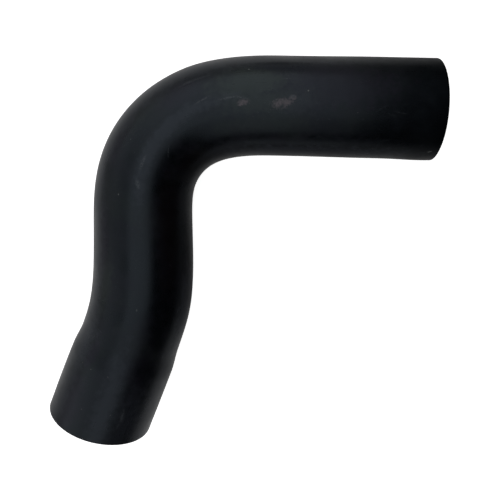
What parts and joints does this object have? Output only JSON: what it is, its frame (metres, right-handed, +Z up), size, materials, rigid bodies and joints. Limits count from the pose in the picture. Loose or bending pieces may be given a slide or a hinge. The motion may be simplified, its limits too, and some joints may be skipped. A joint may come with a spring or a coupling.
{
  "type": "turbo hose",
  "caption": "Moulded black rubber charge-air hose: a round tube with a right-angle elbow, a shallow offset bend and a slightly wider stepped cuff at its lower end.",
  "frame": {"origin": "middle of the hose's bounding box in plan, at the level it lies on", "axes": "+X along the straight upper leg, out of its mouth; +Y away from the lower cuff; +Z up, square to the flat plane in which the hose bends"},
  "size_m": [0.234, 0.238, 0.063],
  "materials": {
    "rubber": "satin black moulded rubber with faint scuffs and dust"
  },
  "bodies": {
    "root": {"turbo_hose": "rubber"}
  },
  "joints": []
}
